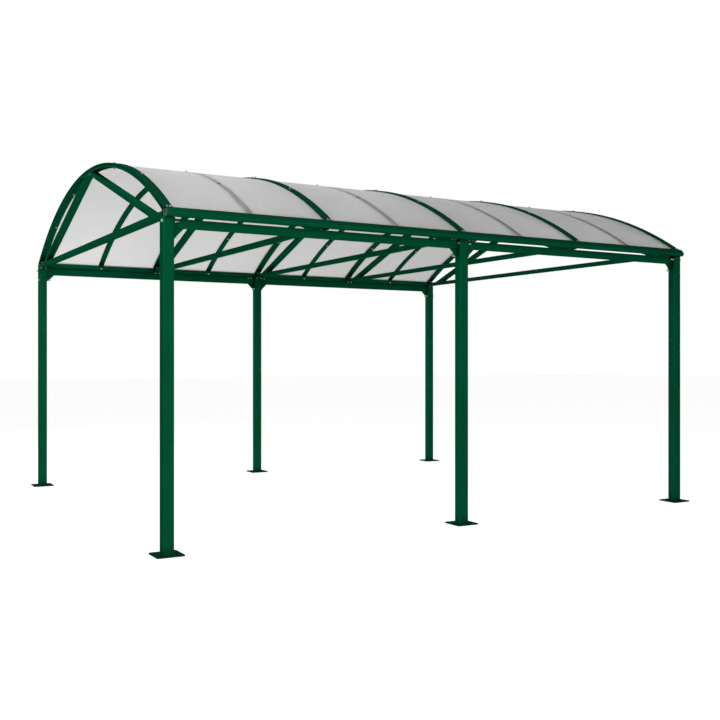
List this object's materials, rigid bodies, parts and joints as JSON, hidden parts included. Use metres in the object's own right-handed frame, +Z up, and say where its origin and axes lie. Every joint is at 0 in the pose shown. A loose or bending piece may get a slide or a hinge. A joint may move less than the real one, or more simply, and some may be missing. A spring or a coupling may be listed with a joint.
{
  "type": "bike shelter",
  "caption": "Free-standing bike shelter: steel posts on base plates carry arched roof frames with ties and rafters under a curved translucent sheet roof.",
  "frame": {"origin": "centre of the shelter's plan, on the ground under the base plates", "axes": "+X along the shelter to its right end, +Y across it to the back, +Z up"},
  "size_m": [5.2, 4.36, 3.0194],
  "materials": {
    "green_paint": "gloss dark green paint on steel",
    "green_aluminium": "gloss dark green paint on aluminium",
    "polycarbonate_sheet": "translucent cellular sheet, its flutes following the arch",
    "end_cap_plastic": "grey moulded cap"
  },
  "bodies": {
    "root": {"base_plates_back": "green_paint", "base_plates_front": "green_paint", "cover_strip_1": "green_aluminium", "cover_strip_2": "green_aluminium", "cover_strip_3": "green_aluminium", "cover_strip_4": "green_aluminium", "cover_strip_5": "green_aluminium", "eaves_end_caps": "end_cap_plastic", "eaves_profile_back": "green_aluminium", "eaves_profile_front": "green_aluminium", "frame_1_arch": "green_paint", "frame_1_rafters": "green_paint", "frame_1_tie": "green_paint", "frame_2_arch": "green_paint", "frame_2_rafters": "green_paint", "frame_2_tie": "green_paint", "frame_3_arch": "green_paint", "frame_3_rafters": "green_paint", "frame_3_tie": "green_paint", "frame_4_arch": "green_paint", "frame_4_rafters": "green_paint", "frame_4_tie": "green_paint", "frame_5_arch": "green_paint", "frame_5_rafters": "green_paint", "frame_5_tie": "green_paint", "haunch_brackets_back": "green_paint", "haunch_brackets_front": "green_paint", "lower_beam_back_left": "green_paint", "lower_beam_back_right": "green_paint", "lower_beam_front_left": "green_paint", "lower_beam_front_right": "green_paint", "post_back_left": "green_paint", "post_back_middle": "green_paint", "post_back_right": "green_paint", "post_front_left": "green_paint", "post_front_middle": "green_paint", "post_front_right": "green_paint", "rib_1": "green_paint", "rib_2": "green_paint", "rib_3": "green_paint", "rib_4": "green_paint", "roof_sheet_1": "polycarbonate_sheet", "roof_sheet_2": "polycarbonate_sheet", "roof_sheet_3": "polycarbonate_sheet", "roof_sheet_4": "polycarbonate_sheet"}
  },
  "joints": []
}
